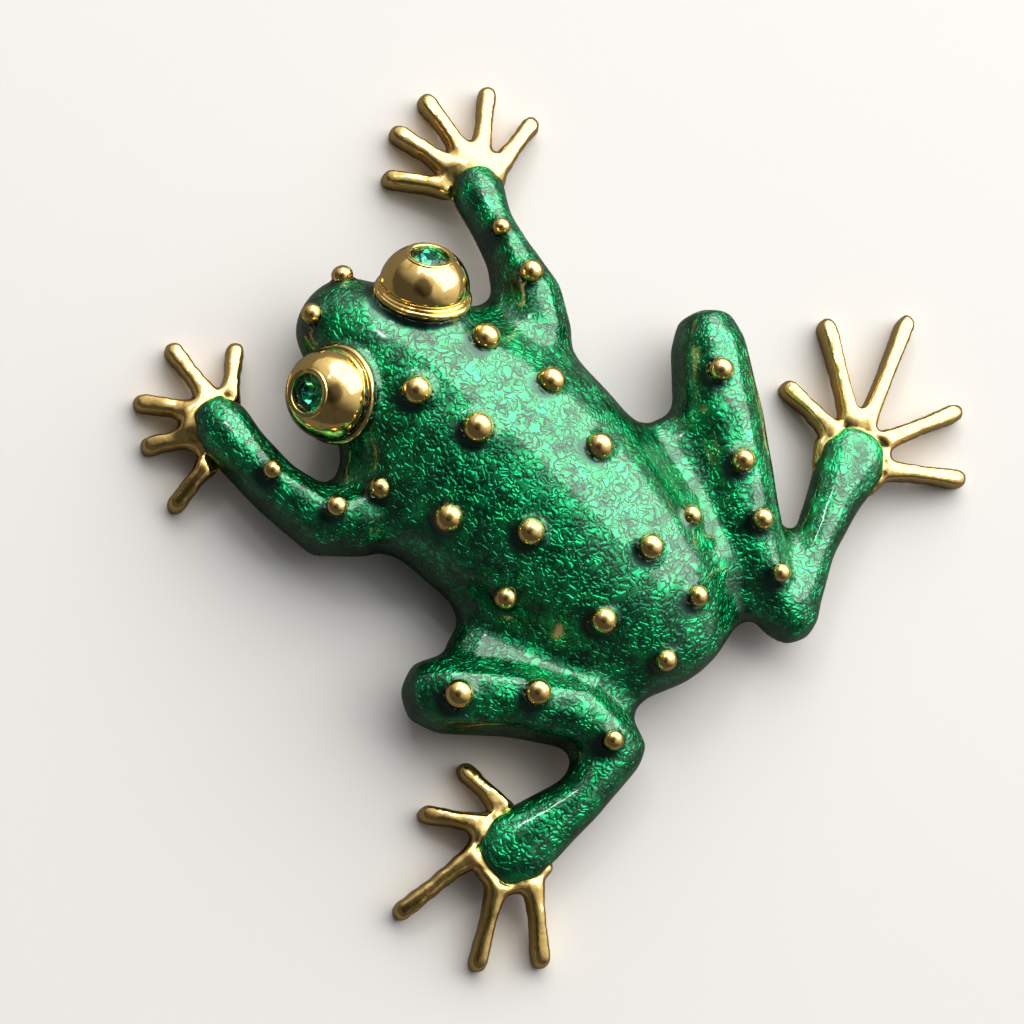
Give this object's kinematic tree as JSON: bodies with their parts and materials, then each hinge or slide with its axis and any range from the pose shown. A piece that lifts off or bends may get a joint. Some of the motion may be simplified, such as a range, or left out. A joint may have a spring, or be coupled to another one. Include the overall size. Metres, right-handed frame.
{
  "type": "brooch",
  "caption": "Enamelled frog brooch: a gold-toned hollow-backed casting with green enamel, raised studs and stone-set eyes, worn by a hinged pin with a turning safety catch.",
  "frame": {"origin": "middle of the outline, at the level of the lowest digit tips", "axes": "+Z away from the cloth, towards the frog's back; +Y towards the snout; +X to the frog's right"},
  "size_m": [0.054, 0.046, 0.011],
  "materials": {
    "casting": "polished gold plate",
    "studs": "polished gold plate",
    "eye_cups": "polished gold plate",
    "findings": "gold plate",
    "pin_wire": "gold-plated steel wire",
    "green_enamel": "glossy translucent enamel over textured metal",
    "green_stone": "faceted, foiled at the back"
  },
  "bodies": {
    "brooch": {"body_casting": "casting", "catch_housing": "findings", "enamel_arm_left": "green_enamel", "enamel_arm_right": "green_enamel", "enamel_back": "green_enamel", "enamel_leg_left": "green_enamel", "enamel_leg_right": "green_enamel", "eye_cup_left": "eye_cups", "eye_cup_right": "eye_cups", "eye_stone_left": "green_stone", "eye_stone_right": "green_stone", "hinge_bracket": "findings", "hinge_rivet": "findings", "stud_arm_left_high": "studs", "stud_arm_left_low": "studs", "stud_arm_right_high": "studs", "stud_arm_right_low": "studs", "stud_back_upper": "studs", "stud_flank_left": "studs", "stud_flank_right": "studs", "stud_nape_left": "studs", "stud_nape_right": "studs", "stud_neck_left": "studs", "stud_nostril_left": "studs", "stud_nostril_right": "studs", "stud_rump_end": "studs", "stud_rump_left": "studs", "stud_rump_right": "studs", "stud_rump_upper": "studs", "stud_shin_left": "studs", "stud_shin_right": "studs", "stud_shoulder_left": "studs", "stud_shoulder_right": "studs", "stud_thigh_left_knee": "studs", "stud_thigh_left_middle": "studs", "stud_thigh_right_knee": "studs", "stud_thigh_right_low": "studs", "stud_thigh_right_middle": "studs", "stud_waist_left": "studs", "stud_waist_right": "studs"},
    "pin": {"pin_stem": "pin_wire"},
    "catch": {"catch_rotor": "findings"}
  },
  "joints": [
    {"name": "pin_hinge", "type": "hinge", "parent": "brooch", "child": "pin", "pos_m": [-0.00144, -0.01258, 0.00126], "axis": [-1, 0, 0], "range_deg": [0, 100]},
    {"name": "catch_turn", "type": "hinge", "parent": "brooch", "child": "catch", "pos_m": [-0.00144, 0.00742, 0.00126], "axis": [0, 1, 0], "range_deg": [0, 150]}
  ]
}
